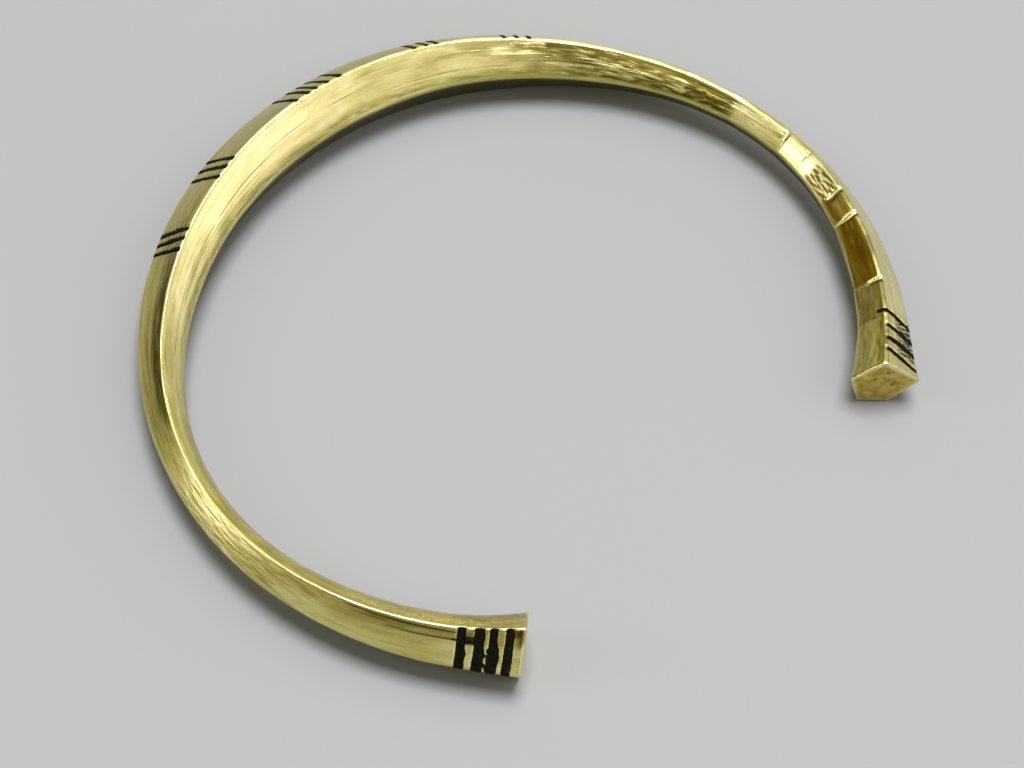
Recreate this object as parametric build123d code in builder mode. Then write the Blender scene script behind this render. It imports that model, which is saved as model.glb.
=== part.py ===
"""Open cuff bracelet: one forged brass bar, square on edge, with black-filled line groups cut across its outer side.

The cuff lies on its side: +Z runs up through the wrist space, the back of the cuff is at +Y and the gap is at -Y.
The origin is at the centre of the footprint, on the plane the cuff rests on.  All lengths are millimetres.
"""

from build123d import *
import math
import os

os.makedirs("parts", exist_ok=True)

# plan of the ridge line, as a radius that varies with the angle from the back of the cuff
mean_radius = 30.0
radius_wave_1 = -2.01
radius_wave_2 = -1.07
radius_wave_4 = 0.22
tip_angle = 141.0
ring_centre_y = -2.166
corner_plane_height = 2.95

# size of the bar along its length: swollen back, slim sides, flared tips
swell_wave_1 = 0.272
swell_wave_2 = 0.226
swell_wave_3 = -0.06
tip_flare = 0.22
tip_flare_start = 0.91
tip_face_slant = 9.5

# section of the bar where its size factor is 1
inner_reach = 2.2
outer_reach = 2.32
ridge_rise = 2.23
inner_corner_rise = 0.31
belly_drop = 2.45
belly_half_width = 1.05
ridge_flat = 0.4
corner_radius = 0.22
corner_window = 0.6
outline_edge_length = 100.0

# engraved lines, filled with black
thin_line_width = 0.32
thick_line_width = 0.72
line_depth = 0.22
corner_depth = 0.32
line_overrun = 0.12
line_foot = 0.9
tool_clearance = 1.0
line_groups = {
    "back_lines": (0.0, 2.4, 5, thin_line_width),
    "left_back_lines": (-23.8, 2.3, 3, thin_line_width),
    "right_back_lines": (23.8, 2.3, 3, thin_line_width),
    "left_side_lines": (-40.6, 2.2, 3, thin_line_width),
    "right_side_lines": (40.6, 2.2, 3, thin_line_width),
    "left_tip_lines": (-135.2, 2.4, 4, thick_line_width),
    "right_tip_lines": (135.2, 2.4, 4, thick_line_width),
}


def ridge_point(angle):
    """Point of the ridge line in plan, at an angle in degrees from the back of the cuff."""
    turn = math.radians(angle)
    radius = mean_radius + radius_wave_1 * math.cos(turn) + radius_wave_2 * math.cos(2 * turn)
    radius += radius_wave_4 * math.cos(4 * turn)
    return Vector(radius * math.sin(turn), ring_centre_y + radius * math.cos(turn), corner_plane_height)


def bar_size(angle):
    """Size factor of the bar's section at an angle."""
    share = abs(angle) / tip_angle
    size = 1 + swell_wave_1 * math.cos(math.pi * share) + swell_wave_2 * math.cos(2 * math.pi * share)
    size += swell_wave_3 * math.cos(3 * math.pi * share)
    flare = max(0.0, (share - tip_flare_start) / (1 - tip_flare_start))
    return size + tip_flare * flare**2


def section_plane(angle, slant=0.0):
    """Plane across the bar: its x runs outward, its y runs up, its normal follows the bar."""
    step = 0.01
    along = (ridge_point(angle + step) - ridge_point(angle - step)).normalized()
    outward = along.cross(Vector(0, 0, -1))
    lean = math.radians(slant)
    tilted = outward * math.cos(lean) - along * math.sin(lean)
    normal = along * math.cos(lean) + outward * math.sin(lean)
    return Plane(origin=ridge_point(angle), x_dir=tilted, z_dir=normal)


def section_points(angle):
    """Corners of the bar's section at an angle."""
    size = bar_size(angle)
    return [
        (-ridge_flat / 2, ridge_rise * size),
        (-inner_reach * size, inner_corner_rise * size),
        (-belly_half_width * size, -belly_drop * size),
        (belly_half_width * size, -belly_drop * size),
        (outer_reach * size, 0),
        (ridge_flat / 2, ridge_rise * size),
    ]


def line_points(angle):
    """Corners of a tool that cuts the ridge and both outer faces to the line depth."""
    size = bar_size(angle)
    top = ridge_rise * size
    reach = outer_reach * size
    foot = line_foot - belly_drop * size
    foot_reach = reach + (belly_half_width * size - reach) * -foot / (belly_drop * size)
    return [
        (-ridge_flat / 2 - line_overrun, top + tool_clearance),
        (-ridge_flat / 2 - line_overrun, top - line_depth),
        (ridge_flat / 2 - line_overrun, top - line_depth),
        (reach - corner_depth, 0),
        (foot_reach - line_depth, foot),
        (foot_reach + tool_clearance, foot),
        (reach + tool_clearance, 0),
        (reach + tool_clearance, top + tool_clearance),
    ]


shares = [0.1 * step for step in range(10)] + [0.955, 1.0]
stations = [-tip_angle * share for share in reversed(shares[1:])] + [tip_angle * share for share in shares]

with BuildPart() as blank:
    for angle in stations:
        at_tip = abs(angle) == tip_angle
        slant = math.copysign(tip_face_slant, angle) if at_tip else 0.0
        with BuildSketch(section_plane(angle, slant)):
            Polygon(*section_points(angle), align=None)
    loft()
    long_edges = blank.edges().filter_by(lambda edge: edge.length > outline_edge_length)
    side_corners = long_edges.filter_by(lambda edge: abs((edge @ 0.5).Z - corner_plane_height) < corner_window)
    fillet(side_corners, radius=corner_radius)
    split(bisect_by=Plane.XY, keep=Keep.TOP)

tools = []
for name, (middle, pitch, count, width) in line_groups.items():
    with BuildPart() as tool:
        for number in range(count):
            angle = middle + pitch * (number - (count - 1) / 2)
            with BuildSketch(section_plane(angle)):
                Polygon(*line_points(angle), align=None)
            extrude(amount=width / 2, both=True)
    tools.append(tool.part)
    with BuildPart() as fill:
        add(tool.part)
        add(blank.part, mode=Mode.INTERSECT)
    fill.part.label = name
    export_step(fill.part, f"parts/{name}.step")

with BuildPart() as cuff:
    add(blank.part)
    for tool_part in tools:
        add(tool_part, mode=Mode.SUBTRACT)
cuff.part.label = "cuff_bar"
export_step(cuff.part, "parts/cuff_bar.step")
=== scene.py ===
"""Looks of the brass cuff bracelet: a finely meshed filed bar, black-filled lines, soft studio light."""

import math

import bpy
import numpy as np
from mathutils import Matrix, Vector


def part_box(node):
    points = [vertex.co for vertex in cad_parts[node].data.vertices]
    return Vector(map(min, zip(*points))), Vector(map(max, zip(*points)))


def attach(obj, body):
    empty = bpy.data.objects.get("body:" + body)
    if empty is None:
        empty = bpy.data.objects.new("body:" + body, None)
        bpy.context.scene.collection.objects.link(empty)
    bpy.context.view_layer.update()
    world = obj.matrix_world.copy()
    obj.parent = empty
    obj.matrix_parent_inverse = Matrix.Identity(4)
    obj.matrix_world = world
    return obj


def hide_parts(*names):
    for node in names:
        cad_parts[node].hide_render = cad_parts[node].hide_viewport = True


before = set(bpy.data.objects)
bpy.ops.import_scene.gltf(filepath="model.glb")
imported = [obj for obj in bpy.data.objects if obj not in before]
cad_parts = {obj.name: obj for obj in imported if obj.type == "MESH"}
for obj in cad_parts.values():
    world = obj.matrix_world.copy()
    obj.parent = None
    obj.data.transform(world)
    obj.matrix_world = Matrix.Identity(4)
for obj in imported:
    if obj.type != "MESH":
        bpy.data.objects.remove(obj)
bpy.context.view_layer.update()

# Lengths here are in mm and angles in degrees from the middle of the back, negative on the left arm,
# unless a comment says otherwise.
MM = 0.001
BAR_LOW, BAR_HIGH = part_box("cuff_bar")
# the centre of the ridge's plan lies this far from the middle of the bar's box, towards the gap
CENTRE_SHIFT = 2.166
CENTRE_X = (BAR_LOW[0] + BAR_HIGH[0]) / 2 / MM
CENTRE_Y = (BAR_LOW[1] + BAR_HIGH[1]) / 2 / MM - CENTRE_SHIFT
FLOOR_Z = BAR_LOW[2] / MM
CORNER_RISE = 2.95
CORNER_Z = FLOOR_Z + CORNER_RISE

# plan of the ridge line
MEAN_RADIUS = 30.0
RADIUS_WAVE_1 = -2.01
RADIUS_WAVE_2 = -1.07
RADIUS_WAVE_4 = 0.22
TIP_ANGLE = 141.0

# size of the bar along its length
SWELL_WAVE_1 = 0.272
SWELL_WAVE_2 = 0.226
SWELL_WAVE_3 = -0.06
TIP_FLARE = 0.22
TIP_FLARE_START = 0.91

# section of the bar where its size factor is 1
INNER_REACH = 2.2
OUTER_REACH = 2.32
RIDGE_RISE = 2.23
INNER_RISE = 0.31
BELLY_DROP = 2.45
BELLY_HALF = 1.05

# hand-made unevenness: the ridge's flat widens between two angles, and the right tip is larger
FLAT_LEFT = 0.14
FLAT_RIGHT = 0.30
FLAT_CHANGE = (-60, 40)
RIGHT_TIP_START = 108.0
RIGHT_TIP_INNER = -0.2
RIGHT_TIP_OUTER = 0.48
RIGHT_TIP_RISE = 0.19
# sideways bends of the whole bar and swellings of its inner face: amount, angle of the middle, spread
BACK_SWAY = (0.3, 28.0, 22)
LEFT_SWAY = (-0.1, -95.0, 40)
INNER_SWELL = (0.5, 66.0, 24)
INNER_HOLLOW = (-0.12, -30.0, 20)
# the end faces are cut at a slant, which runs out over the last stretch of the bar
LEFT_SLANT = math.radians(9.7)
RIGHT_SLANT = math.radians(13.7)
SLANT_LENGTH = 3.0

# samples round the section: steps along each face, crown of each face and rounding of each corner
RUNS = [4, 34, 12, 6, 12, 34]
CROWN = [0.01, 0.06, 0.02, 0.0, 0.03, 0.05]
ROUNDING = [0.06, 0.06, 0.34, 0.4, 0.4, 0.38]
ARC_STEPS = 4
INNER_FACE = 5
# the inner face bulges in its lower half, and much less so on the right arm
LOWER_BEND = 0.13
LOWER_BEND_LOSS = 0.85
LOWER_BEND_CHANGE = (36, 50)
LOWER_BEND_RISE = 0.3
LOWER_BEND_FALL = (0.45, 1.0)
# a plain stretch of the bar, whose section gives the places round it
PLAIN_ANGLE = -70.0

# rings along the bar: spacing, spacing near lines and nicks, how near that is, and rings over the rims
RING_STEP = 0.34
FINE_STEP = 0.09
FINE_REACH = 0.42
LEAST_GAP = FINE_STEP * 0.7
TIP_ROUNDING = 0.26
RIM_RINGS = TIP_ROUNDING * np.array([0.02, 0.12, 0.28, 0.48, 0.72, 1.0])
RIM_CLEAR = TIP_ROUNDING * 1.3

# unevenness of the surface: seed, height, wave lengths along the bar and round it, number of waves
DENTS = [
    (3, 0.012, (14, 50), (2.5, 9), 12),
    (5, 0.0050, (7, 34), (0.6, 2.0), 18),
    (7, 0.0035, (2.6, 7.0), (1.4, 4.5), 12),
    (9, 0.0010, (4.0, 22.0), (0.24, 0.5), 24),
]
# stretches where it is evened out: share taken away, first and last angle, softness
CALM_INSIDE = [(0.55, 84, 142, 4), (0.35, 98, 107, 1), (0.7, -142, -118, 4)]
CALM_OUTSIDE = (0.5, -116, -80, 5)

# black lines of each node: angle at the ridge, lean towards the outer corner, width
LINES = {
    "back_lines": [
        (-3.8, -0.2, 0.42), (-1.0, 0.0, 0.46), (0.8, 0.15, 0.34), (3.3, -0.4, 0.40), (6.0, -0.2, 0.44),
    ],
    "left_back_lines": [(-21.3, 0.3, 0.40), (-23.5, 0.2, 0.48), (-26.1, 0.4, 0.40)],
    "right_back_lines": [(21.7, 0.0, 0.42), (24.1, 0.0, 0.34), (26.0, 0.0, 0.44)],
    "left_side_lines": [(-38.0, 0.05, 0.48), (-40.1, 0.2, 0.44), (-42.5, 0.8, 0.38)],
    "right_side_lines": [(38.8, 0.0, 0.36), (41.1, 0.0, 0.30), (43.3, 0.0, 0.36)],
    "left_tip_lines": [(-132.0, 0.0, 0.62), (-134.5, 0.1, 0.72), (-136.45, 0.1, 0.58), (-138.8, 0.35, 0.66)],
    "right_tip_lines": [(130.0, 1.0, 0.36), (132.8, 0.8, 0.40), (135.3, 0.4, 0.44), (137.6, 1.1, 0.42)],
}
# their grooves: depth, width of a side's slope, samples left free below, share of the depth of plain ones
GROOVE_DEPTH = 0.16
GROOVE_SIDE = 0.07
LINE_LAST = 4
PLAIN_REACH = 0.9
# file nicks across the ridge of the right arm: angle, depth, reach down the inner face
NICKS = [(91.7, 0.06, 0.45), (97.0, 0.03, 0.2), (105.4, 0.08, 0.9), (110.5, 0.08, 0.7), (123.8, 0.12, 0.6)]
NICK_LEAN = 0.25
NICK_WIDTH = 0.17
# grime beside a nick: strength, distance, width, and the depths between which it sets in
NICK_SOIL = 0.9
NICK_SOIL_GAP = 0.28
NICK_SOIL_WIDTH = 0.10
NICK_SOIL_DEPTHS = (0.05, 0.1)
# the inner face of the right arm is filed flat between these angles, by this share of a full chord
FACETS = [66.0, 72.5, 81.3, 92.4, 99.4, 105.4, 110.6, 124.0, 131.0, 141.0]
FACET_SHARE = 0.68

# end faces: rings from the rim inward, their relief, and pits given by place across, height, depth, width
CAP_SHARES = np.linspace(0.97, 0.03, 26)
CAP_BLEND = 0.1
SAWN_BLEND = 0.12
CAP_RELIEF = 0.010
CAP_WAVES = (0.7, 2.5)
CAP_SEED = 21
CAP_PITS = [
    (0.35, 0.75, 0.10, 0.20),
    (-0.55, -0.15, 0.06, 0.15),
    (0.15, 0.0, 0.07, 0.13),
    (1.0, -0.9, 0.05, 0.22),
]
PIT_DIRT = 0.9

# UV units are 10 mm: u runs along the bar and v round it, stretched a little; each end face has its own place
UV_UNIT = 10.0
UV_STRETCH = 1.3
CAP_UV_SHIFT = 200


def waves(seed, x, y, x_lengths, y_lengths, count):
    """Smooth seeded noise of about unit height, made of plane waves with lengths in the given ranges."""
    rng = np.random.default_rng(seed)
    total = np.zeros(np.broadcast(x, y).shape)
    for _ in range(count):
        kx = 2 * math.pi / math.exp(rng.uniform(math.log(x_lengths[0]), math.log(x_lengths[1])))
        ky = 2 * math.pi / math.exp(rng.uniform(math.log(y_lengths[0]), math.log(y_lengths[1])))
        side = rng.choice([-1.0, 1.0])
        total = total + np.sin(kx * x + side * ky * y + rng.uniform(0, 2 * math.pi))
    return total / math.sqrt(count / 2)


def bump_at(x, centre, width):
    return np.exp(-(((x - centre) / width) ** 2))


def local(angle, amount, centre, spread):
    return amount * bump_at(angle, centre, spread)


def smooth(x, start, stop):
    u = np.clip((x - start) / (stop - start), 0, 1)
    return u * u * (3 - 2 * u)


def unit(x):
    return np.clip(x, 0, 1)


def bar_size(angle):
    """Size factor of the section, for an array of angles."""
    share = np.abs(angle) / TIP_ANGLE
    size = 1 + SWELL_WAVE_1 * np.cos(np.pi * share) + SWELL_WAVE_2 * np.cos(2 * np.pi * share)
    size = size + SWELL_WAVE_3 * np.cos(3 * np.pi * share)
    flare = np.clip((share - TIP_FLARE_START) / (1 - TIP_FLARE_START), 0, None)
    return size + TIP_FLARE * flare**2


def ridge_xy(angle):
    turn = np.radians(angle)
    radius = MEAN_RADIUS + RADIUS_WAVE_1 * np.cos(turn) + RADIUS_WAVE_2 * np.cos(2 * turn)
    radius = radius + RADIUS_WAVE_4 * np.cos(4 * turn)
    return np.stack([CENTRE_X + radius * np.sin(turn), CENTRE_Y + radius * np.cos(turn)], axis=-1)


def bar_frames(angle):
    """Ridge point, direction along the bar and outward direction, in plan."""
    small = 0.01
    here = ridge_xy(angle)
    along = ridge_xy(angle + small) - ridge_xy(angle - small)
    along = along / np.linalg.norm(along, axis=-1, keepdims=True)
    outward = np.stack([-along[..., 1], along[..., 0]], axis=-1)
    return here, along, outward


# lengths along the ridge line from the middle of the back, for turning angles into lengths and back
FINE_ANGLES = np.linspace(-TIP_ANGLE - 1, TIP_ANGLE + 1, 6001)
FINE_STEPS = np.linalg.norm(np.diff(ridge_xy(FINE_ANGLES), axis=0), axis=1)
FINE_LENGTHS = np.concatenate([[0.0], np.cumsum(FINE_STEPS)])
FINE_LENGTHS = FINE_LENGTHS - np.interp(0.0, FINE_ANGLES, FINE_LENGTHS)


def length_at(angle):
    return np.interp(angle, FINE_ANGLES, FINE_LENGTHS)


def angle_at(length):
    return np.interp(length, FINE_LENGTHS, FINE_ANGLES)


HALF_LENGTH = float(length_at(TIP_ANGLE))


def section_corners(angle):
    """The six corners of the section, from the ridge's inner edge outward and round."""
    size = bar_size(angle)
    half_flat = (FLAT_LEFT + (FLAT_RIGHT - FLAT_LEFT) * smooth(angle, *FLAT_CHANGE)) / 2
    right_tip = np.clip((angle - RIGHT_TIP_START) / (TIP_ANGLE - RIGHT_TIP_START), 0, 1) ** 2
    inner = INNER_REACH + local(angle, *INNER_SWELL)
    inner = (inner + local(angle, *INNER_HOLLOW) + RIGHT_TIP_INNER * right_tip) * size
    outer = (OUTER_REACH + RIGHT_TIP_OUTER * right_tip) * size
    outer_rise = RIGHT_TIP_RISE * right_tip
    inner_rise = INNER_RISE * size
    top = RIDGE_RISE * size
    drop = -BELLY_DROP * size
    low = np.maximum(drop, FLOOR_Z - CORNER_Z)
    belly = BELLY_HALF * size
    outer_low = outer + (belly - outer) * (outer_rise - low) / (outer_rise - drop)
    inner_low = -inner + (inner - belly) * (inner_rise - low) / (inner_rise - drop)
    return [
        np.stack([-half_flat, top], -1),
        np.stack([half_flat, top], -1),
        np.stack([outer, outer_rise], -1),
        np.stack([outer_low, low], -1),
        np.stack([inner_low, low], -1),
        np.stack([-inner, inner_rise], -1),
    ]


def section(angle):
    """Points round the section for an array of angles, from the ridge's inner edge: (rings, samples, 2)."""
    corners = section_corners(angle)
    count = len(corners)
    starts, ends, outs = [], [], []
    for i in range(count):
        into = corners[i] - corners[i - 1]
        out = corners[(i + 1) % count] - corners[i]
        into = into / np.linalg.norm(into, axis=-1, keepdims=True)
        out = out / np.linalg.norm(out, axis=-1, keepdims=True)
        cosine = np.clip((into * out).sum(-1), -1, 1)
        cut = ROUNDING[i] * np.tan(np.arccos(cosine) / 2)
        starts.append(corners[i] - into * cut[..., None])
        ends.append(corners[i] + out * cut[..., None])
        outs.append(np.stack([-out[..., 1], out[..., 0]], axis=-1))
    points = []
    for i in range(count):
        for step in range(ARC_STEPS + 1):
            u = step / ARC_STEPS
            points.append((1 - u) ** 2 * starts[i] + 2 * u * (1 - u) * corners[i] + u**2 * ends[i])
        after = starts[(i + 1) % count]
        for step in range(1, RUNS[i]):
            u = step / RUNS[i]
            crown = CROWN[i] * 4 * u * (1 - u)
            if i == INNER_FACE:
                bend = LOWER_BEND * (1 - LOWER_BEND_LOSS * smooth(angle, *LOWER_BEND_CHANGE))
                rise = 1 - max(0.0, 1 - u / LOWER_BEND_RISE) ** 2
                crown = crown + bend * rise * (1 - float(smooth(u, *LOWER_BEND_FALL)))
            points.append((1 - u) * ends[i] + u * after + outs[i] * np.reshape(crown, (-1, 1)))
    points = np.stack(points, axis=-2)
    sway = local(angle, *BACK_SWAY) + local(angle, *LEFT_SWAY)
    points[..., 0] += sway[:, None]
    return points


# the samples at which the parts of the section start and end
ARC = ARC_STEPS + 1
SAMPLES = sum(RUNS) - len(RUNS) + len(RUNS) * ARC
RIDGE_END = ARC + RUNS[0] - 1 + ARC
OUTER_FACE_END = RIDGE_END + RUNS[1] - 1
OUTER_CORNER_END = OUTER_FACE_END + ARC
LOWER_FACE_END = OUTER_CORNER_END + RUNS[2] - 1
BELLY_END = LOWER_FACE_END + ARC + RUNS[3] - 1 + ARC
INNER_LOW_END = BELLY_END + RUNS[4] - 1
INNER_FACE_START = INNER_LOW_END + ARC


def section_normals(points):
    """Outward directions of the section's own outline."""
    slope = np.roll(points, -1, axis=-2) - np.roll(points, 1, axis=-2)
    slope = slope / np.linalg.norm(slope, axis=-1, keepdims=True)
    return np.stack([-slope[..., 1], slope[..., 0]], axis=-1)


def perimeter(points):
    steps = np.linalg.norm(np.diff(points, axis=-2), axis=-1)
    zero = np.zeros(steps.shape[:-1] + (1,))
    return np.concatenate([zero, np.cumsum(steps, axis=-1)], axis=-1)


def place(angle, points):
    """Section points (rings, samples, 2) carried to space. The tips are slanted."""
    here, along, outward = bar_frames(angle)
    to_tip = HALF_LENGTH - np.abs(length_at(angle))
    slant = np.where(angle > 0, RIGHT_SLANT, LEFT_SLANT)
    ramp = np.clip(1 - to_tip / SLANT_LENGTH, 0, 1) ** 2 * np.sign(angle)
    slide = -points[..., 0] * (np.tan(slant) * ramp)[:, None]
    xy = here[:, None, :] + outward[:, None, :] * points[..., 0:1] + along[:, None, :] * slide[..., None]
    z = CORNER_Z + points[..., 1:2]
    return np.concatenate([xy, z], axis=-1)


# positions round a section of size 1: the same for every ring, so that file marks follow the edges
PLAIN = np.array([PLAIN_ANGLE])
AROUND = perimeter(section(PLAIN))[0] / float(bar_size(PLAIN)[0])


def level_between(first, last):
    """0 at one sample and 1 at another, and even between them."""
    return np.clip((AROUND - AROUND[first]) / (AROUND[last] - AROUND[first]), 0, 1)[None, :]


def add_object(name, data):
    obj = bpy.data.objects.new(name, data)
    bpy.context.scene.collection.objects.link(obj)
    return obj


def new_mesh_object(name, vertices, faces, uvs, masks=None):
    mesh = bpy.data.meshes.new(name)
    mesh.from_pydata((vertices * MM).tolist(), [], faces)
    mesh.validate()
    mesh.shade_smooth()
    layer = mesh.uv_layers.new(name="bar")
    loops = np.zeros(len(mesh.loops), dtype=np.int32)
    mesh.loops.foreach_get("vertex_index", loops)
    layer.data.foreach_set("uv", uvs[loops].ravel())
    for mask, values in (masks or {}).items():
        attribute = mesh.attributes.new(mask, "FLOAT", "POINT")
        attribute.data.foreach_set("value", unit(values).astype(np.float32))
    return add_object(name, mesh)


def ring_lengths():
    """Where the rings stand along the bar: close together at lines, nicks and tips."""
    spots = [length_at(angle) for angle, _depth, _reach in NICKS]
    for lines in LINES.values():
        for angle, lean, _width in lines:
            spots += [length_at(angle), length_at(angle + lean)]
    spots = np.array(spots)
    coarse = np.linspace(-HALF_LENGTH, HALF_LENGTH, int(2 * HALF_LENGTH / RING_STEP) + 1)
    fine = np.linspace(-HALF_LENGTH, HALF_LENGTH, int(2 * HALF_LENGTH / FINE_STEP) + 1)
    fine = fine[np.abs(fine[:, None] - spots[None, :]).min(axis=1) < FINE_REACH]
    gaps = np.abs(coarse[:, None] - fine[None, :]).min(axis=1)
    inside = np.concatenate([coarse[gaps > LEAST_GAP], fine])
    inside = inside[np.abs(inside) < HALF_LENGTH - RIM_CLEAR]
    tips = [-HALF_LENGTH, HALF_LENGTH]
    return np.unique(np.concatenate([inside, tips, HALF_LENGTH - RIM_RINGS, RIM_RINGS - HALF_LENGTH]))


class Skin:
    """The points over the bar, a row for each ring: where each stands along it and round it."""

    def __init__(self):
        self.lengths = ring_lengths()
        self.angles = angle_at(self.lengths)
        self.step = np.arange(SAMPLES)[None, :]
        self.along = self.lengths[:, None] + 0.0 * self.step
        self.around = AROUND[None, :] + 0.0 * self.along
        self.angle = self.angles[:, None] + 0.0 * self.step
        # how far down the outer face and up the inner face
        self.outer_level = level_between(RIDGE_END, OUTER_FACE_END)
        self.inner_level = level_between(INNER_FACE_START, SAMPLES - 1)
        self.ridge = self.step <= RIDGE_END
        self.outer = (self.step >= RIDGE_END) & (self.step <= OUTER_FACE_END)
        self.inner = self.step >= INNER_FACE_START
        # 0 along the bar, rising to 1 at the very tips, where the rims are rounded
        self.rim = np.clip(1 - (HALF_LENGTH - np.abs(self.lengths)) / TIP_ROUNDING, 0, 1)

    def waves(self, seed, x_lengths, y_lengths, count):
        return waves(seed, self.along, self.around, x_lengths, y_lengths, count)

    def span(self, start, stop, soft):
        """1 between two angles along the bar, and 0 past them, with soft ends."""
        rise = smooth(self.angle, start - soft, start + soft)
        return rise * (1 - smooth(self.angle, stop - soft, stop + soft))

    def patches(self, rows):
        """Sum of patches, each given by strength, first and last angle, softness, and what it looks like."""
        total = np.zeros_like(self.along)
        for strength, start, stop, soft, pattern in rows:
            total += strength * self.span(start, stop, soft) * pattern
        return total


def unevenness(skin):
    """Hand-forged dents, long file facets and dimples."""
    push = np.zeros_like(skin.along)
    for seed, height, x_lengths, y_lengths, count in DENTS:
        push += height * skin.waves(seed, x_lengths, y_lengths, count)
    push *= 1 - skin.inner * sum(share * skin.span(*where) for share, *where in CALM_INSIDE)
    share, *where = CALM_OUTSIDE
    push *= 1 - share * skin.outer * skin.span(*where)
    return push


def filed_flats(skin):
    """How deep the flat facets inside the right arm lie, fading over the ridge and the lower inner face."""
    step = skin.step
    weight = skin.inner + (step < ARC) * 1.0
    weight = weight + (step >= ARC) * (step < RIDGE_END) * (RIDGE_END - step) / (RIDGE_END - ARC)
    low_rise = np.clip((step - BELLY_END) / (INNER_FACE_START - BELLY_END), 0, 1)
    weight = np.maximum(weight, low_rise * (step <= INNER_FACE_START))
    depth = np.zeros_like(skin.along)
    for start, stop in zip(FACETS[:-1], FACETS[1:]):
        ends = length_at(np.array([start, stop]))
        chord = ends[1] - ends[0]
        _here, along, _outward = bar_frames(np.array([start, stop]))
        heading = np.unwrap(np.arctan2(along[:, 1], along[:, 0]))
        radius = chord / abs(heading[1] - heading[0])
        away = np.clip(np.abs(skin.along - ends.mean()), 0, chord / 2)
        # measured from the arc's mean height over the facet, so that the facet takes as much as it adds
        sag = (away**2 - chord**2 / 12) / (2 * radius)
        inside = (skin.along >= ends[0]) & (skin.along < ends[1])
        depth += FACET_SHARE * sag * inside * weight
    return depth


def grooves(skin):
    """Depth of the grooves of the lines: full on the outer side, only a bite in the ridge, nothing inside."""
    depth = np.zeros_like(skin.along)
    for name, lines in LINES.items():
        if name.endswith("tip_lines"):
            reach = smooth(skin.step, 1, RIDGE_END - 3)
        else:
            reach = smooth(skin.step, ARC - 1, RIDGE_END) * PLAIN_REACH
        reach = reach * (skin.step <= LOWER_FACE_END - LINE_LAST)
        for angle, lean, width in lines:
            centre = length_at(angle) + (length_at(angle + lean) - length_at(angle)) * skin.outer_level
            inside = np.clip((width / 2 - np.abs(skin.along - centre)) / GROOVE_SIDE + 0.5, 0, 1)
            depth += GROOVE_DEPTH * inside * reach
    return depth


def nicks(skin):
    """The file nicks: their depth, the grime beside them and the painted highlights on their floors."""
    cut = np.zeros_like(skin.along)
    soil_and_painted_shade = np.zeros_like(skin.along)
    polish_and_painted_highlight = np.zeros_like(skin.along)
    for angle, depth, reach in NICKS:
        centre = length_at(angle) - NICK_LEAN * (skin.inner_level - 1) * skin.inner
        shape = bump_at(skin.along, centre, NICK_WIDTH)
        over = skin.inner * smooth(skin.inner_level, 1 - reach, 1 - reach / 2) + skin.ridge * 1.0
        cut += depth * shape * over
        # painted highlight on the nick's floor
        polish_and_painted_highlight += shape * over * skin.inner
        beside = bump_at(skin.along, centre + NICK_SOIL_GAP, NICK_SOIL_WIDTH)
        soil_and_painted_shade += NICK_SOIL * beside * over * smooth(depth, *NICK_SOIL_DEPTHS)
    return cut, soil_and_painted_shade, polish_and_painted_highlight


def spilt_ink(skin, cloudy, streaky, blocky):
    """Ink rubbed into the brass round the tip lines."""
    s, level = skin.along, skin.outer_level
    rubbed = np.clip(0.62 + 0.5 * skin.waves(53, (0.25, 0.6), (0.5, 2.5), 12), 0, 1)
    ink = 0.9 * skin.span(130.4, 137.4, 0.5) * skin.outer * smooth(level, 0.12, 0.5) * rubbed
    near = length_at(np.array([angle for angle, _lean, _width in LINES["left_tip_lines"]]))
    # a bar of ink that joins the first two lines, a tail before it, and specks between the next two
    ink += (s > near[1]) * (s < near[0]) * skin.outer * bump_at(level, 0.27, 0.11)
    ink += bump_at(s, near[0] + 0.55, 0.35) * skin.outer * bump_at(level, 0.30, 0.035) * 0.9
    specks = smooth(blocky, 0.55, 0.85) * smooth(level, 0.30, 0.5)
    ink += (s > near[2]) * (s < near[1]) * skin.outer * specks * 0.8
    on_ridge = (skin.step >= 1) * skin.ridge
    ink += skin.span(-139.4, -131.4, 0.12) * on_ridge * np.clip(0.75 * streaky, 0, 1) * 0.6
    for spot in near:
        ink += 0.65 * bump_at(s, spot, 0.42) * skin.outer * np.clip(0.3 + 0.6 * cloudy, 0, 1)
    return np.clip(ink, 0, 1)


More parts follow.
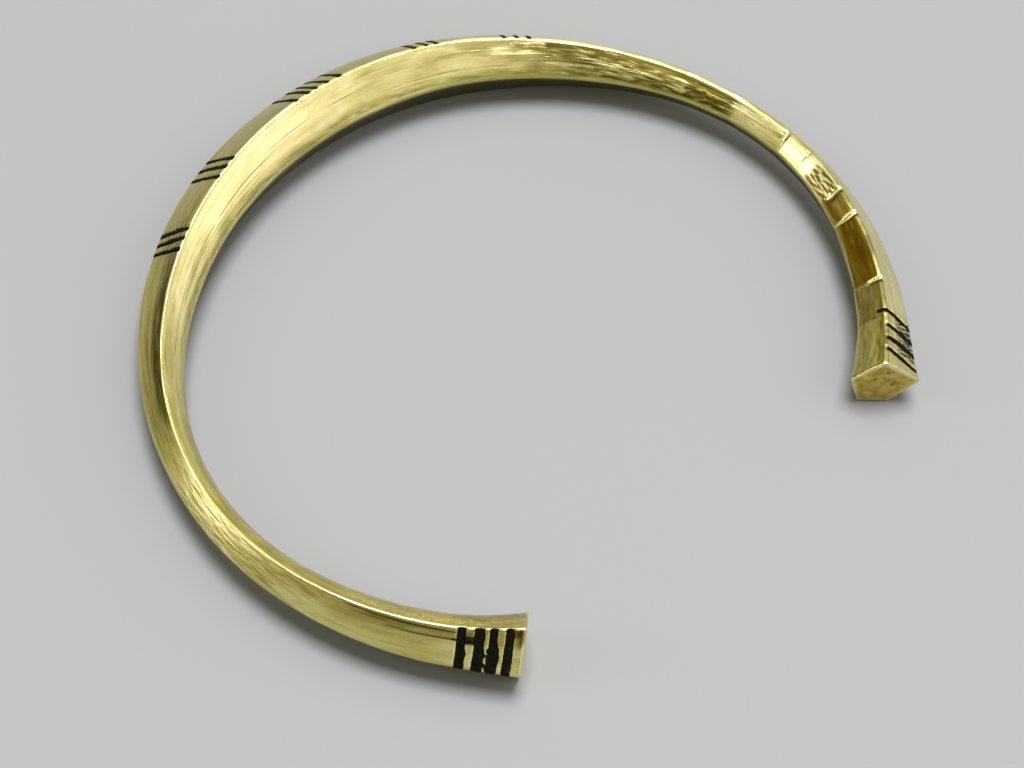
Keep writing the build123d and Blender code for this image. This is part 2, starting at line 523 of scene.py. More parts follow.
def painted_masks(skin, nick_soil, nick_painted_highlight):
    """Where the brass is soiled or darkened as painted shade, polished or lightened as painted highlight,
    inked, stained and tinted, from 0 to 1 at each point.
    """
    cloudy = unit(0.5 + 0.5 * skin.waves(41, (1.4, 7.0), (0.35, 1.6), 20))
    streaky = unit(0.55 + 0.45 * skin.waves(43, (4.0, 22.0), (0.16, 0.5), 22))
    blocky = unit(0.5 + 0.9 * skin.waves(47, (0.7, 1.6), (0.5, 1.0), 10))
    ridge, outer, inner = skin.ridge, skin.outer, skin.inner
    down, up = skin.outer_level, skin.inner_level
    by_ridge = smooth(up, 0.72, 0.88)
    low_part = 0.62 + 0.38 * smooth(up, 0.1, 0.45)
    mottled = np.clip(0.05 + 0.30 * cloudy + 0.16 * blocky * streaky + 0.38 * by_ridge, 0, 0.8)

    # grime and painted shade: a dark line that goes on down from the second nick, then patches on both faces,
    # among them painted shade that dims the ridge of the right arm and darkens the lowest strip of the inner
    # face
    dark_line = bump_at(skin.along, length_at(NICKS[1][0]) + 0.05, 0.08)
    soil_and_painted_shade = nick_soil + 0.85 * dark_line * inner * smooth(up, 0.25, 0.5)
    soil_and_painted_shade += skin.patches([
        (0.95, -74, -46, 4, outer * (1 - smooth(down, 0.10, 0.50)) * unit(streaky + 0.25)),
        (0.30, -86, -36, 6, outer * streaky * (1 - smooth(down, 0.6, 1.0))),
        (0.60, -46, 30, 4, outer * (1 - 0.5 * down) * unit(streaky + 0.1)),
        (0.75, -112, -84, 3, outer * streaky * (0.3 + 0.7 * smooth(cloudy, 0.35, 0.7))),
        (0.90, -131.6, -114.5, 1.2, outer * bump_at(down, 0.07, 0.05) * unit(streaky + 0.4)),
        (0.90, -131.6, -121.0, 1.2, outer * bump_at(down, 0.30, 0.035) * unit(streaky + 0.4)),
        (0.95, 46, 81.3, 1.0, inner * smooth(up, 0.66, 0.86) * unit(cloudy + 0.45)),
        (0.76, 50, 72.5, 4.0, inner * unit(1.6 * streaky * cloudy + 0.15) * low_part),
        (0.14, 62, 72.5, 3.0, inner),
        (1.00, 72.5, 81.3, 0.25, inner * unit(0.32 + 1.2 * blocky * streaky + 0.25 * cloudy)),
        (0.32, 81.3, 92.4, 0.2, inner * cloudy * smooth(up, 0.2, 0.8)),
        (0.80, 99.4, 105.4, 0.2, inner * smooth(blocky * 0.6 + cloudy * 0.6, 0.3, 0.8)),
        (0.35, 105.8, 110.4, 0.2, inner * cloudy),
        (0.30, 110.8, 123.6, 0.2, inner * (1 - cloudy)),
        # painted shade: the ridge of the right arm is dimmed
        (0.55, 84, 142, 3, ridge * (0.6 + 0.4 * cloudy)),
        (0.40, -142, -131, 2, inner),
        (0.20, -131, -120, 2, inner),
        (0.45, 124.2, 131.0, 0.3, inner * mottled),
        (0.80, 131.0, 140.6, 0.5, inner * mottled),
        # painted shade: the lowest strip of the inner face is darker towards the bottom
        (0.40, -60, 104, 8, inner * (1 - smooth(up, 0.04, 0.28)) * unit(cloudy + 0.2)),
    ])
    soil_and_painted_shade += 0.10 * cloudy * (skin.angle < -70) * inner

    # brown stains: by the left end, between and before the first lines there, and faintly in the right tip
    first_two = length_at(np.array([angle for angle, _lean, _width in LINES["left_tip_lines"][:2]]))
    between = (skin.along > first_two[1]) & (skin.along < first_two[0])
    stain = bump_at(skin.angle, -139.9, 1.0) * outer * (1 - smooth(down - 0.12 * blocky, 0.06, 0.26))
    stain += bump_at(skin.angle, -140.2, 0.22) * outer * (1 - smooth(down, 0.34, 0.46))
    stain += 0.75 * between * outer * (1 - smooth(down, 0.22, 0.34)) * unit(cloudy + 0.3)
    stain += skin.patches([
        (0.45, -131.5, -116, 2, outer * bump_at(down, 0.14, 0.12) * streaky),
        (0.10, 124, 141, 1, inner * (1 - by_ridge) * cloudy),
    ])

    # polish and painted highlights: the ridge is polished by wear, and patches of the outer and inner faces
    # are lightened as painted highlights
    polish_and_painted_highlight = nick_painted_highlight + 0.15 * ridge * (skin.angle < 84)
    polish_and_painted_highlight += skin.patches([
        (0.50, 97, 129, 2, outer),
        (0.55, -142, -105, 3, outer * smooth(down, 0.25, 0.55)),
        (0.45, -142, -129, 1.5, outer * smooth(down, 0.30, 0.5)),
        (0.80, 40, 97, 3, outer),
        (0.35, 92.6, 96.8, 0.2, inner),
        (0.35, 97.4, 99.3, 0.2, inner),
        (0.35, 81.6, 87.0, 1.5, inner),
    ])
    # painted highlight: the rounded rims at the tips are lightened
    polish_and_painted_highlight += 0.9 * skin.rim[:, None]

    # painted shade: the lower faces, below the outer and inner corners, are darkened where the bar shades
    # them
    under = smooth(skin.step, OUTER_FACE_END, OUTER_CORNER_END + 2)
    under = under * (1 - smooth(skin.step, INNER_LOW_END - 2, INNER_FACE_START - 1))
    return {
        "soil_and_painted_shade": soil_and_painted_shade,
        "polish_and_painted_highlight": polish_and_painted_highlight,
        "inked": spilt_ink(skin, cloudy, streaky, blocky),
        "stain": stain,
        "under": under * (1 - skin.rim[:, None]),
        "sawn": np.zeros_like(soil_and_painted_shade),
        "amber": skin.patches([(0.95, 110.8, 123.6, 0.2, inner), (0.75, 105.8, 110.4, 0.2, inner)]),
        "olive": skin.patches([
            (0.85, -82, 32, 4, outer),
            (0.50, 46, 82, 3, inner),
            (0.80, 124, 142, 0.5, inner * by_ridge),
        ]),
        "plain": skin.patches([(1.0, -142, -112, 4, inner), (0.9, 98, 142, 1.5, inner)]),
    }


def round_rims(skin, points):
    """The section shrinks over the last stretch of each tip, as a quarter of a circle."""
    shrink = TIP_ROUNDING * (1 - np.sqrt(np.clip(1 - skin.rim**2, 0, 1)))
    centre = points.mean(axis=1, keepdims=True)
    radius = np.linalg.norm(points - centre, axis=-1, keepdims=True)
    return centre + (points - centre) * (1 - shrink[:, None, None] / radius)


def end_rings(end, rim, slant):
    """Rings that shrink to the middle of an end face: points, place on the face, dirt, share that is sawn."""
    middle = rim.mean(axis=0)
    _here, along, outward = bar_frames(np.array([end * TIP_ANGLE]))
    side = np.array([*outward[0], 0.0])
    axis = np.array([*along[0], 0.0]) * end * math.cos(slant) + side * math.sin(slant)
    for share in CAP_SHARES:
        ring = middle + (rim - middle) * share
        across = (ring - middle) @ side
        height = ring[:, 2] - middle[2]
        relief = CAP_RELIEF * waves(CAP_SEED + end, across, height, CAP_WAVES, CAP_WAVES, 12)
        dirt = np.zeros(len(rim))
        for pit_across, pit_height, depth, width in CAP_PITS:
            hole = np.exp(-((across - pit_across) ** 2 + (height - pit_height) ** 2) / width**2)
            relief = relief - depth * hole
            dirt = dirt + hole * PIT_DIRT
        ring = ring + axis * (relief * min(1.0, (CAP_SHARES[0] - share) / CAP_BLEND))[:, None]
        flat = np.stack([across + CAP_UV_SHIFT * end, height], -1)
        yield ring, flat, dirt, min(1.0, (1.0 - share) / SAWN_BLEND)


def build_bar():
    skin = Skin()
    points = section(skin.angles)
    normals = section_normals(points)
    nick_depth, nick_soil, nick_painted_highlight = nicks(skin)
    push = unevenness(skin) - filed_flats(skin) - grooves(skin) - nick_depth
    points = points + normals * push[..., None]
    points[..., 1] = np.maximum(points[..., 1], FLOOR_Z - CORNER_Z)
    solid = place(skin.angles, round_rims(skin, points))

    rings = solid.shape[0]
    vertices = [solid.reshape(-1, 3)]
    uvs = [np.stack([skin.along, skin.around * UV_STRETCH], -1).reshape(-1, 2)]
    painted = painted_masks(skin, nick_soil, nick_painted_highlight)
    masks = {mask: [values.ravel()] for mask, values in painted.items()}
    index = np.arange(rings * SAMPLES).reshape(rings, SAMPLES)
    nxt = np.roll(index, -1, axis=1)
    faces = np.stack([index[:-1], nxt[:-1], nxt[1:], index[1:]], -1).reshape(-1, 4).tolist()

    total = rings * SAMPLES
    for end, row, slant in ((-1, 0, LEFT_SLANT), (1, rings - 1, RIGHT_SLANT)):
        before = index[row]
        for ring, flat, dirt, sawn in end_rings(end, solid[row], slant):
            vertices.append(ring)
            uvs.append(flat)
            cap = {"soil_and_painted_shade": dirt, "sawn": np.full(SAMPLES, sawn)}
            for mask, values in masks.items():
                values.append(cap.get(mask, np.zeros(SAMPLES)))
            now = np.arange(total, total + SAMPLES)
            total += SAMPLES
            a, b = (before, now) if end > 0 else (now, before)
            faces += np.stack([a, np.roll(a, -1), np.roll(b, -1), b], -1).tolist()
            before = now
        vertices.append(solid[row].mean(axis=0)[None, :])
        uvs.append(np.array([[CAP_UV_SHIFT * end, 0.0]]))
        for mask, values in masks.items():
            values.append(np.array([1.0 if mask == "sawn" else 0.0]))
        for first, second in zip(before.tolist(), np.roll(before, -1).tolist()):
            faces.append((first, second, total) if end > 0 else (second, first, total))
        total += 1
    masks = {mask: np.concatenate(values) for mask, values in masks.items()}
    return new_mesh_object("cuff_body", np.concatenate(vertices), faces, np.concatenate(uvs) / UV_UNIT, masks)


# blots of filling beside a line: line number, level down the outer face, spread, extra to the left and right
BLOTS = {
    "left_tip_lines": [
        (0, 0.14, 0.20, -0.14, 0.02),
        (0, 0.95, 0.5, 0.06, 0.0),
        (1, 0.10, 0.20, 0.05, 0.06),
        (1, 0.60, 0.30, 0.10, -0.06),
        (2, 0.80, 0.42, 0.24, 0.16),
        (2, 0.10, 0.15, -0.03, 0.05),
        (3, 0.08, 0.3, -0.10, -0.10),
        (3, 0.85, 0.3, 0.08, 0.02),
    ],
    "right_tip_lines": [(0, 0.7, 0.3, 0.0, 0.05), (1, 0.7, 0.3, 0.05, 0.12), (2, 0.7, 0.3, 0.10, 0.0)],
    "left_side_lines": [(0, 0.05, 0.12, 0.0, 0.05), (1, 0.04, 0.10, 0.04, 0.04)],
    "left_back_lines": [(1, 0.06, 0.12, 0.04, 0.04)],
}
# a strip's cross-section: place across it, from edge to edge, and height over the brass
STRIP_COLUMNS = np.array([-1.0, -0.93, -0.6, -0.2, 0.2, 0.6, 0.93, 1.0])
STRIP_HEIGHTS = np.array([-0.004, 0.007, 0.010, 0.011, 0.011, 0.010, 0.007, -0.004])
# how uneven its edges are, as a share of the width, and the lengths and number of waves in them
TIP_RAGGED = 0.09
PLAIN_RAGGED = 0.16
RAGGED_WAVES = (0.35, 2.2)
RAGGED_COUNT = 9
RIGHT_EDGE_SEED = 50
# how far its middle strays from the line, and the lengths and number of waves in that
DRIFT = 0.035
DRIFT_WAVES = (2.5, 8)
DRIFT_COUNT = 4
DRIFT_SEED = 90
# wave lengths across the strip, where nothing varies
ACROSS_WAVES = (5, 6)
# a strip narrows over its last and first stretch, and plain lines narrow towards the outer corner
LAST_FADE = 0.6
FIRST_FADE = 0.12
LEAST_WIDTH = 0.05
FIRST_WIDTH = 0.35
PLAIN_NARROWING = 0.3
# the first line of the right tip starts this many samples down the inner face
OVER_RIDGE = 9
TIP_MARGIN = 0.3


def strip_samples(node, number):
    """Samples round the section that a line's filling covers, from the ridge down the outer side."""
    last = LOWER_FACE_END - LINE_LAST
    if node == "right_tip_lines" and number == 0:
        return np.concatenate([np.arange(SAMPLES - OVER_RIDGE, SAMPLES), np.arange(0, last)])
    if node == "right_tip_lines":
        return np.arange(RIDGE_END - 3, last)
    if node == "left_tip_lines":
        return np.arange(1, last)
    return np.arange(ARC + RUNS[0] // 2, last)


def strip_lengths(node, number, down, seed):
    """Where the points of a strip lie along the bar: (samples, columns)."""
    angle, lean, width = LINES[node][number]
    tip = node.endswith("tip_lines")
    fall = (down - AROUND[RIDGE_END]) / (AROUND[OUTER_FACE_END] - AROUND[RIDGE_END])
    level = np.clip(fall, 0, 1)
    ragged = TIP_RAGGED if tip else PLAIN_RAGGED
    edges = []
    for edge_seed in (seed, seed + RIGHT_EDGE_SEED):
        edge = waves(edge_seed, down, 0 * down, RAGGED_WAVES, ACROSS_WAVES, RAGGED_COUNT)
        edges.append(width / 2 * (1 + ragged * edge))
    for which, at, spread, *extras in BLOTS.get(node, []):
        if which == number:
            edges = [edge + extra * bump_at(fall, at, spread) for edge, extra in zip(edges, extras)]
    fade = np.clip((down[-1] - down) / LAST_FADE, LEAST_WIDTH, 1) ** 0.5
    fade = fade * np.clip((down - down[0]) / FIRST_FADE + FIRST_WIDTH, 0, 1)
    thin = 1.0 if tip else 1 - PLAIN_NARROWING * level
    left, right = (edge * fade * thin for edge in edges)
    drift = DRIFT * waves(seed + DRIFT_SEED, down, 0 * down, DRIFT_WAVES, ACROSS_WAVES, DRIFT_COUNT)
    centre = length_at(angle) + (length_at(angle + lean) - length_at(angle)) * level + drift
    side = np.where(STRIP_COLUMNS[None, :] < 0, left[:, None], right[:, None])
    lengths = centre[:, None] + STRIP_COLUMNS[None, :] * side
    return np.clip(lengths, -HALF_LENGTH + TIP_MARGIN, HALF_LENGTH - TIP_MARGIN)


def strip_layer(lengths, track, lifts):
    """The strip's points, lifted off the bar's even surface by a height for each column."""
    angles = angle_at(lengths)
    pick = np.arange(len(track))
    cells = []
    for column, lift in enumerate(lifts):
        points = section(angles[:, column])
        outward = section_normals(points)
        chosen = points[pick, track] + outward[pick, track] * lift
        cells.append(place(angles[:, column], chosen[:, None, :])[:, 0, :])
    return np.stack(cells, axis=1)


def closed_faces(index, under):
    """Faces of a closed strip between an upper and a lower grid of points."""
    grids = [
        (index[:-1, :-1], index[1:, :-1], index[1:, 1:], index[:-1, 1:]),
        (under[:-1, :-1], under[:-1, 1:], under[1:, 1:], under[1:, :-1]),
    ]
    rims = (
        (index[:, 0], under[:, 0]),
        (index[::-1, -1], under[::-1, -1]),
        (index[0, ::-1], under[0, ::-1]),
        (index[-1], under[-1]),
    )
    for a, b in rims:
        grids.append((a[:-1], b[:-1], b[1:], a[1:]))
    faces = []
    for grid in grids:
        faces += np.stack(grid, -1).reshape(-1, 4).tolist()
    return faces


def build_strips(name, node, seed):
    """One closed strip of filling per line of the node."""
    vertices, faces, uvs = [], [], []
    total = 0
    for number in range(len(LINES[node])):
        track = strip_samples(node, number)
        down = np.where(track > INNER_FACE_START, AROUND[track] - AROUND[-1], AROUND[track])
        lengths = strip_lengths(node, number, down, seed + number)
        top = strip_layer(lengths, track, STRIP_HEIGHTS)
        bottom = strip_layer(lengths, track, np.full(len(STRIP_COLUMNS), -GROOVE_DEPTH))
        flat = np.stack([lengths, down[:, None] + 0 * lengths], -1).reshape(-1, 2)
        index = total + np.arange(lengths.size).reshape(lengths.shape)
        vertices += [top.reshape(-1, 3), bottom.reshape(-1, 3)]
        uvs += [flat, flat]
        faces += closed_faces(index, index + lengths.size)
        total += 2 * lengths.size
    return new_mesh_object(name, np.concatenate(vertices), faces, np.concatenate(uvs) / UV_UNIT)


# draw marks inside the bar: level up the inner face, first and last angle, width and turn in UV units
DRAW_MARKS = [
    (0.46, -66.0, -40.0, 0.0055, 0.004),
    (0.44, -44.0, -13.0, 0.0060, 0.002),
    (0.62, -52.0, -36.0, 0.0040, 0.003),
    (0.34, -38.0, -16.0, 0.0035, -0.003),
    (0.56, -18.0, 8.0, 0.0035, 0.0),
    (0.30, 12.0, 44.0, 0.0040, -0.004),
    (0.40, 38.0, 62.0, 0.0050, 0.006),
    (0.62, 44.0, 66.0, 0.0045, -0.004),
    (0.22, 40.0, 70.0, 0.0040, 0.003),
    (0.80, -60.0, -20.0, 0.0030, 0.001),
]
# how far they all wander round the section, the middle of that, and their fading ends, in UV units
MARK_WANDER = 0.06
MARK_WANDER_MEAN = 0.03
MARK_ENDS = 0.25
# the share of a mark's width that is fully dark
MARK_CORE = 0.25

# noises of the brass: waves per 10 mm along the bar and round it, detail, roughness, distortion
HAIRS = (0.9, 80.0, 5.0, 0.6, 0.0)
SCRATCHES = (0.4, 24.0, 5.0, 0.68, 0.0)
PATCHES = (2.2, 8.0, 5.0, 0.62, 0.5)
CLOUDS = (0.9, 2.5, 4.0, 0.6, 0.4)
GRAIN = (22.0, 40.0, 4.0, 0.6, 0.0)
PITS = (11.0, 11.0, 5.0, 0.65, 0.0)
WANDER = (0.55, 0.0, 3.0, 0.5, 0.0)
BREAKS = (5.0, 12.0, 3.0, 0.6, 0.0)
INK_MOTTLE = (16.0, 16.0, 5.0, 0.6, 0.0)

# colours of the brass, what lies on it, the filling and the tabletop; ramps go from dark to pale
BRASS_RAMP = [(0.28, (0.54, 0.46, 0.15)), (0.5, (0.70, 0.62, 0.25)), (0.74, (0.80, 0.73, 0.36))]
SAWN_RAMP = [(0.34, (0.30, 0.21, 0.02)), (0.5, (0.55, 0.41, 0.07)), (0.66, (0.72, 0.56, 0.13))]
INK_RAMP = [(0.3, (0.002, 0.002, 0.001)), (0.62, (0.006, 0.005, 0.003)), (0.85, (0.03, 0.025, 0.010))]
FLOOR_RAMP = [(0.3, (0.262, 0.267, 0.267)), (0.7, (0.272, 0.276, 0.275))]
WARM = (0.76, 0.60, 0.28)
SCRATCH_DARK = (0.22, 0.18, 0.03)
SCRATCH_BRIGHT = (0.92, 0.86, 0.55)
HAIR_DARK = (0.30, 0.25, 0.06)
MARK_DARK = (0.16, 0.12, 0.02)
GRIME_AND_PAINTED_SHADE = (0.080, 0.062, 0.005)
OLIVE_TINT = (0.98, 1.0, 0.72)
AMBER_TINT = (0.88, 0.71, 0.22)
UNDER_PAINTED_SHADE = (0.085, 0.09, 0.010)
SAWN_DIRT = (0.10, 0.08, 0.005)
POLISH_AND_PAINTED_HIGHLIGHT = (0.90, 0.84, 0.50)
INK_SPILL = (0.020, 0.018, 0.008)
BROWN_STAIN = (0.085, 0.030, 0.003)

# heights of the relief in the materials, in metres
SCRATCH_HEIGHT = 0.00010
HAIR_HEIGHT = 0.00003
GRAIN_HEIGHT = 0.00008
INK_HEIGHT = 0.00004
FLOOR_HEIGHT = 0.0001

# sockets of a Mix node that mixes colours
MIX_FACTOR = 0
MIX_A = 6
MIX_B = 7
MIX_RESULT = 2


class Nodes:
    """Builds one node tree that ends in a shader."""

    def __init__(self, name):
        self.material = bpy.data.materials.new(name)
        self.material.use_nodes = True
        self.tree = self.material.node_tree
        self.tree.nodes.clear()
        output = self.new("OutputMaterial")
        self.shader = self.new("BsdfPrincipled")
        self.link(self.shader.outputs[0], output.inputs["Surface"])
        self.uv = self.new("UVMap")
        self.uv.uv_map = "bar"

    def new(self, kind):
        return self.tree.nodes.new("ShaderNode" + kind)

    def link(self, a, b):
        self.tree.links.new(a, b)

    def put(self, value, socket):
        if isinstance(value, (int, float)):
            socket.default_value = value
        elif isinstance(value, tuple):
            socket.default_value = (*value, 1.0)
        else:
            self.link(value, socket)

    def mask(self, name):
        node = self.new("Attribute")
        node.attribute_name = name
        return node.outputs["Fac"]

    def noise(self, vector, scale, detail, roughness, distortion=0.0):
        node = self.new("TexNoise")
        settings = {"Scale": scale, "Detail": detail, "Roughness": roughness, "Distortion": distortion}
        for socket, value in settings.items():
            node.inputs[socket].default_value = value
        self.link(vector, node.inputs["Vector"])
        return node.outputs[0]

    def texture(self, along, around, detail, roughness, distortion):
        """Noise that follows the bar."""
        node = self.new("Mapping")
        node.inputs["Scale"].default_value = (along, around, 1.0)
        self.link(self.uv.outputs[0], node.inputs[0])
        return self.noise(node.outputs[0], 1.0, detail, roughness, distortion)

    def ramp(self, value, stops):
        node = self.new("ValToRGB")
        elements = node.color_ramp.elements
        while len(elements) < len(stops):
            elements.new(0.5)
        for element, (position, colour) in zip(elements, stops):
            element.position = position
            element.color = (*colour, 1.0)
        self.link(value, node.inputs[0])
        return node.outputs[0]

    def fade(self, value, start, stop, low=0.0, high=1.0):
        """Low at the start value and high at the stop value, with a smooth step between them."""
        node = self.new("MapRange")
        node.interpolation_type = "SMOOTHSTEP"
        for number, item in enumerate((value, start, stop, low, high)):
            self.put(item, node.inputs[number])
        return node.outputs[0]

    def mix(self, factor, a, b, mode="MIX"):
        node = self.new("Mix")
        node.data_type = "RGBA"
        node.blend_type = mode
        for value, number in ((factor, MIX_FACTOR), (a, MIX_A), (b, MIX_B)):
            self.put(value, node.inputs[number])
        return node.outputs[MIX_RESULT]

    def math(self, operation, a, b=0.0):
        node = self.new("Math")
        node.operation = operation
        self.put(a, node.inputs[0])
        self.put(b, node.inputs[1])
        return node.outputs[0]

    def times(self, a, b):
        return self.math("MULTIPLY", a, b)

    def hairlines(self, marks):
        """Long thin marks, broken here and there."""
        split = self.new("SeparateXYZ")
        self.link(self.uv.outputs[0], split.inputs[0])
        along, around = split.outputs[0], split.outputs[1]
        wander = self.times(self.texture(*WANDER), MARK_WANDER)
        total = None
        for level, first, last, width, turn in marks:
            height = AROUND[INNER_FACE_START] + (AROUND[-1] - AROUND[INNER_FACE_START]) * level
            middle = float(height * UV_STRETCH / UV_UNIT - MARK_WANDER_MEAN)
            start, stop = (float(length_at(angle)) / UV_UNIT for angle in (first, last))
            lean = self.times(self.math("SUBTRACT", along, start), turn)
            offset = self.math("SUBTRACT", self.math("SUBTRACT", around, middle), lean)
            offset = self.math("SUBTRACT", offset, wander)
            line = self.fade(self.math("ABSOLUTE", offset), width, width * MARK_CORE)
            begins = self.fade(along, start, start + MARK_ENDS)
            line = self.times(line, self.times(begins, self.fade(along, stop, stop - MARK_ENDS)))
            total = line if total is None else self.math("MAXIMUM", total, line)
        return self.times(total, self.fade(self.texture(*BREAKS), 0.36, 0.52, 0.15, 1.0))

    def bump(self, height, strength, distance, below=None):
        node = self.new("Bump")
        self.put(strength, node.inputs["Strength"])
        node.inputs["Distance"].default_value = distance
        self.link(height, node.inputs["Height"])
        if below is not None:
            self.link(below, node.inputs["Normal"])
        return node.outputs[0]


def brass_material():
    """Brushed brass: pale and dark patches with long scratches, then grime and painted shade, tints, painted
    shade on the lower faces, polish and painted highlights, ink and stains.
    """
    n = Nodes("brushed_brass")
    shader = n.shader
    shader.inputs["Metallic"].default_value = 1.0
    shader.inputs["Anisotropic"].default_value = 0.5
    shader.inputs["Anisotropic Rotation"].default_value = 0.25
    tangent = n.new("Tangent")
    tangent.direction_type = "UV_MAP"
    tangent.uv_map = "bar"
    n.link(tangent.outputs[0], shader.inputs["Tangent"])

    hairs = n.texture(*HAIRS)
    scratches = n.texture(*SCRATCHES)
    patches = n.texture(*PATCHES)
    grain = n.texture(*GRAIN)
    soil_and_painted_shade = n.mask("soil_and_painted_shade")
    sawn = n.mask("sawn")
    polish_and_painted_highlight = n.mask("polish_and_painted_highlight")
    inked = n.times(n.mask("inked"), n.fade(grain, 0.3, 0.6, 0.75, 1.15))

    colour = n.mix(n.fade(n.texture(*CLOUDS), 0.48, 0.72, 0.0, 0.45), n.ramp(patches, BRASS_RAMP), WARM)
    colour = n.mix(n.times(n.fade(scratches, 0.42, 0.30), 0.8), colour, SCRATCH_DARK)
    colour = n.mix(n.times(n.fade(scratches, 0.60, 0.70), 0.6), colour, SCRATCH_BRIGHT)
    colour = n.mix(n.times(n.fade(hairs, 0.42, 0.32), 0.55), colour, HAIR_DARK)
    colour = n.mix(n.times(n.hairlines(DRAW_MARKS), 0.85), colour, MARK_DARK)
    # grime and painted shade darken the colour
    broken = n.times(soil_and_painted_shade, n.fade(patches, 0.25, 0.6, 0.7, 1.3))
    colour = n.mix(n.fade(broken, 0.05, 1.0, 0.0, 0.94), colour, GRIME_AND_PAINTED_SHADE)
    for name, tint in (("olive", OLIVE_TINT), ("amber", AMBER_TINT)):
        colour = n.mix(n.mask(name), colour, n.mix(1.0, colour, tint, "MULTIPLY"))
    # painted shade: the lower faces are darkened
    colour = n.mix(n.times(n.mask("under"), 0.88), colour, UNDER_PAINTED_SHADE)
    gold = n.mix(n.fade(soil_and_painted_shade, 0.2, 0.9, 0.0, 0.85), n.ramp(n.texture(*PITS), SAWN_RAMP), SAWN_DIRT)
    colour = n.mix(n.times(sawn, 0.9), colour, gold)
    # polish and painted highlights lighten the colour
    colour = n.mix(n.times(polish_and_painted_highlight, 0.8), colour, POLISH_AND_PAINTED_HIGHLIGHT)
    colour = n.mix(n.fade(inked, 0.2, 0.75), colour, INK_SPILL)
    colour = n.mix(n.times(n.mask("stain"), 0.9), colour, BROWN_STAIN)
    n.link(colour, shader.inputs["Base Color"])

    rough = n.fade(patches, 0.3, 0.7, 0.17, 0.29)
    rough = n.math("ADD", rough, n.times(soil_and_painted_shade, 0.10))
    rough = n.math("ADD", rough, n.times(n.math("ADD", sawn, inked), 0.16))
    rough = n.math("ADD", rough, n.times(polish_and_painted_highlight, 0.05))
    n.link(rough, shader.inputs["Roughness"])

    # the relief is shallow where the mask says that the brass is plain
    depth = n.fade(n.mask("plain"), 0.0, 1.0, 0.35, 0.08)
    relief = n.bump(scratches, depth, SCRATCH_HEIGHT)
    relief = n.bump(hairs, depth, HAIR_HEIGHT, relief)
    relief = n.bump(grain, 0.06, GRAIN_HEIGHT, relief)
    n.link(relief, shader.inputs["Normal"])
    return n.material


def ink_material():
    n = Nodes("black_fill")
    shader = n.shader
    mottle = n.texture(*INK_MOTTLE)
    n.link(n.ramp(mottle, INK_RAMP), shader.inputs["Base Color"])
    n.link(n.fade(mottle, 0.3, 0.8, 0.55, 0.78), shader.inputs["Roughness"])
    shader.inputs["Specular IOR Level"].default_value = 0.05
    n.link(n.bump(mottle, 0.4, INK_HEIGHT), shader.inputs["Normal"])
    return n.material


def floor_material():
    n = Nodes("pale_tabletop")
    shader = n.shader
    coords = n.new("TexCoord")
    wide = n.noise(coords.outputs["Object"], 9.0, 3.0, 0.5)
    fine = n.noise(coords.outputs["Object"], 900.0, 4.0, 0.6)
    n.link(n.ramp(wide, FLOOR_RAMP), shader.inputs["Base Color"])
    shader.inputs["Roughness"].default_value = 0.65
    shader.inputs["Specular IOR Level"].default_value = 0.25
    n.link(n.bump(fine, 0.04, FLOOR_HEIGHT), shader.inputs["Normal"])
    return n.material


brass = brass_material()
ink = ink_material()

bar = build_bar()
bar.data.materials.append(brass)
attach(bar, "root")
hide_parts("cuff_bar")

FIRST_STRIP_SEED = 300
STRIP_SEED_STEP = 7
for order, node in enumerate(LINES):
    piece = build_strips("filled_" + node, node, FIRST_STRIP_SEED + STRIP_SEED_STEP * order)
    piece.data.materials.append(ink)
    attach(piece, "root")
    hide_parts(node)


def plane(name, size, location):
    mesh = bpy.data.meshes.new(name)
    half = size / 2
    corners = [(-half, -half, 0), (half, -half, 0), (half, half, 0), (-half, half, 0)]
    mesh.from_pydata(corners, [], [(0, 1, 2, 3)])
    obj = add_object(name, mesh)
    obj.location = location
    return obj


# the tabletop, in metres, a hair below the cuff
FLOOR_SIZE = 6.0
FLOOR_GAP = 0.00002
floor = plane("tabletop", FLOOR_SIZE, (0, 0, BAR_LOW[2] - FLOOR_GAP))
floor.data.materials.append(floor_material())

# camera: the photograph's viewing angle, aimed near the middle of the cuff
TARGET = Vector((-3.215, -6.104, -0.201)) * MM
EYE = Vector((-81.84, -80.50, 163.34)) * MM
ROLL = math.radians(7.14)
FOCAL_PIXELS = 2332.4
IMAGE_WIDTH = 1024
camera_data = bpy.data.cameras.new("camera")
camera_data.sensor_width = 36.0
camera_data.lens = FOCAL_PIXELS * camera_data.sensor_width / IMAGE_WIDTH
camera_data.clip_start = 0.01
camera = add_object("camera", camera_data)
look = (TARGET - EYE).to_track_quat("-Z", "Y").to_matrix().to_4x4()
camera.matrix_world = Matrix.Translation(EYE) @ look @ Matrix.Rotation(ROLL, 4, "Z")
bpy.context.scene.camera = camera

# the lights' directions are given as seen from here: azimuth 0 is to the right, 90 is straight ahead
view_flat = Vector((TARGET.x - EYE.x, TARGET.y - EYE.y))
VIEW_TURN = math.atan2(view_flat.y, view_flat.x) - math.pi / 2


def direction(azimuth, elevation):
    turn = math.radians(azimuth) + VIEW_TURN
    rise = math.radians(elevation)
    return Vector((math.cos(rise) * math.cos(turn), math.cos(rise) * math.sin(turn), math.sin(rise)))


def soft_box(name, azimuth, elevation, distance, size, radiance, colour):
    """A square area light of even brightness, facing the cuff."""
    towards = direction(azimuth, elevation)
    data = bpy.data.lights.new(name, "AREA")
    data.shape = "RECTANGLE"
    data.size = size
    data.size_y = size
    data.color = colour
    data.energy = radiance * math.pi * size * size
    light = add_object(name, data)
    light.location = towards * distance
    light.rotation_euler = (-towards).to_track_quat("-Z", "Y").to_euler()


soft_box("key", 80, 81, distance=3.0, size=1.4, radiance=20.4, colour=(0.96, 0.955, 1.035))

# a soft studio room: pale walls, a darker ceiling, bright and dark panels where the brass picks them up
WALLS = (0.35, (0.54, 0.53, 0.30))
CEILING = (0.75, (0.26, 0.275, 0.14))
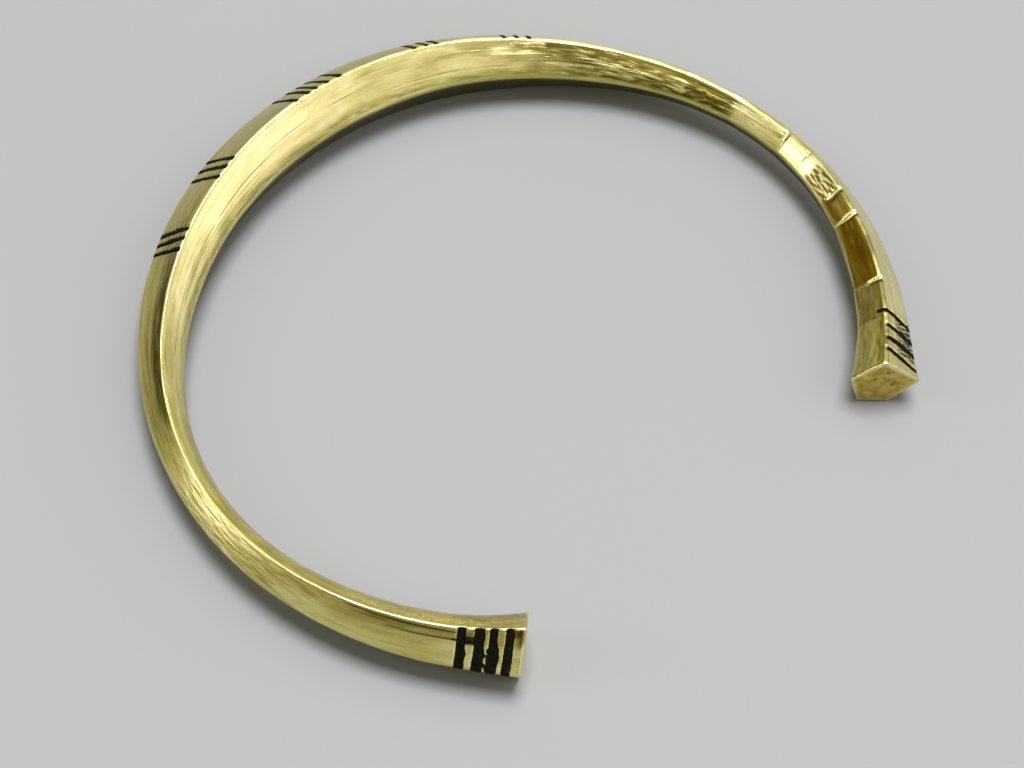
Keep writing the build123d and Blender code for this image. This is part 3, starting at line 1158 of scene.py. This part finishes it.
# each panel: azimuth, elevation, radius of its even middle, radius at which it ends, colour
PANELS = [
    (90, 58, 14, 32, (1.42, 1.45, 1.05)),
    (44, 12, 8, 24, (0.80, 0.79, 0.80)),
    (-50, 46, 6, 20, (1.42, 1.40, 1.28)),
    (-24, 37, 12, 28, (1.05, 1.02, 0.96)),
    (12, 34, 12, 26, (1.80, 1.76, 2.05)),
    (-148, 42, 8, 18, (0.95, 0.92, 0.85)),
    (-108, 58, 24, 38, (0.20, 0.18, 0.08)),
    (161, 15, 14, 24, (0.13, 0.085, 0.005)),
    (-169, 28, 4, 10, (4.0, 4.0, 4.6)),
    (-168, 39, 5, 11, (4.0, 4.0, 4.6)),
]
world = bpy.data.worlds.new("studio")
world.use_nodes = True
tree = world.node_tree
coords = tree.nodes.new("ShaderNodeTexCoord")
split = tree.nodes.new("ShaderNodeSeparateXYZ")
tree.links.new(coords.outputs["Generated"], split.inputs[0])
sky = tree.nodes.new("ShaderNodeValToRGB")
for element, (position, colour) in zip(sky.color_ramp.elements, (WALLS, CEILING)):
    element.position = position
    element.color = (*colour, 1)
tree.links.new(split.outputs[2], sky.inputs[0])
shade = sky.outputs[0]
for azimuth, elevation, core, edge, colour in PANELS:
    dot = tree.nodes.new("ShaderNodeVectorMath")
    dot.operation = "DOT_PRODUCT"
    tree.links.new(coords.outputs["Generated"], dot.inputs[0])
    dot.inputs[1].default_value = direction(azimuth, elevation)
    soft = tree.nodes.new("ShaderNodeMapRange")
    soft.interpolation_type = "SMOOTHSTEP"
    soft.inputs[1].default_value = math.cos(math.radians(edge))
    soft.inputs[2].default_value = math.cos(math.radians(core))
    tree.links.new(dot.outputs["Value"], soft.inputs[0])
    blend = tree.nodes.new("ShaderNodeMix")
    blend.data_type = "RGBA"
    tree.links.new(soft.outputs[0], blend.inputs[MIX_FACTOR])
    tree.links.new(shade, blend.inputs[MIX_A])
    blend.inputs[MIX_B].default_value = (*colour, 1)
    shade = blend.outputs[MIX_RESULT]
tree.links.new(shade, tree.nodes["Background"].inputs[0])
bpy.context.scene.world = world
bpy.context.scene.view_settings.view_transform = "Standard"
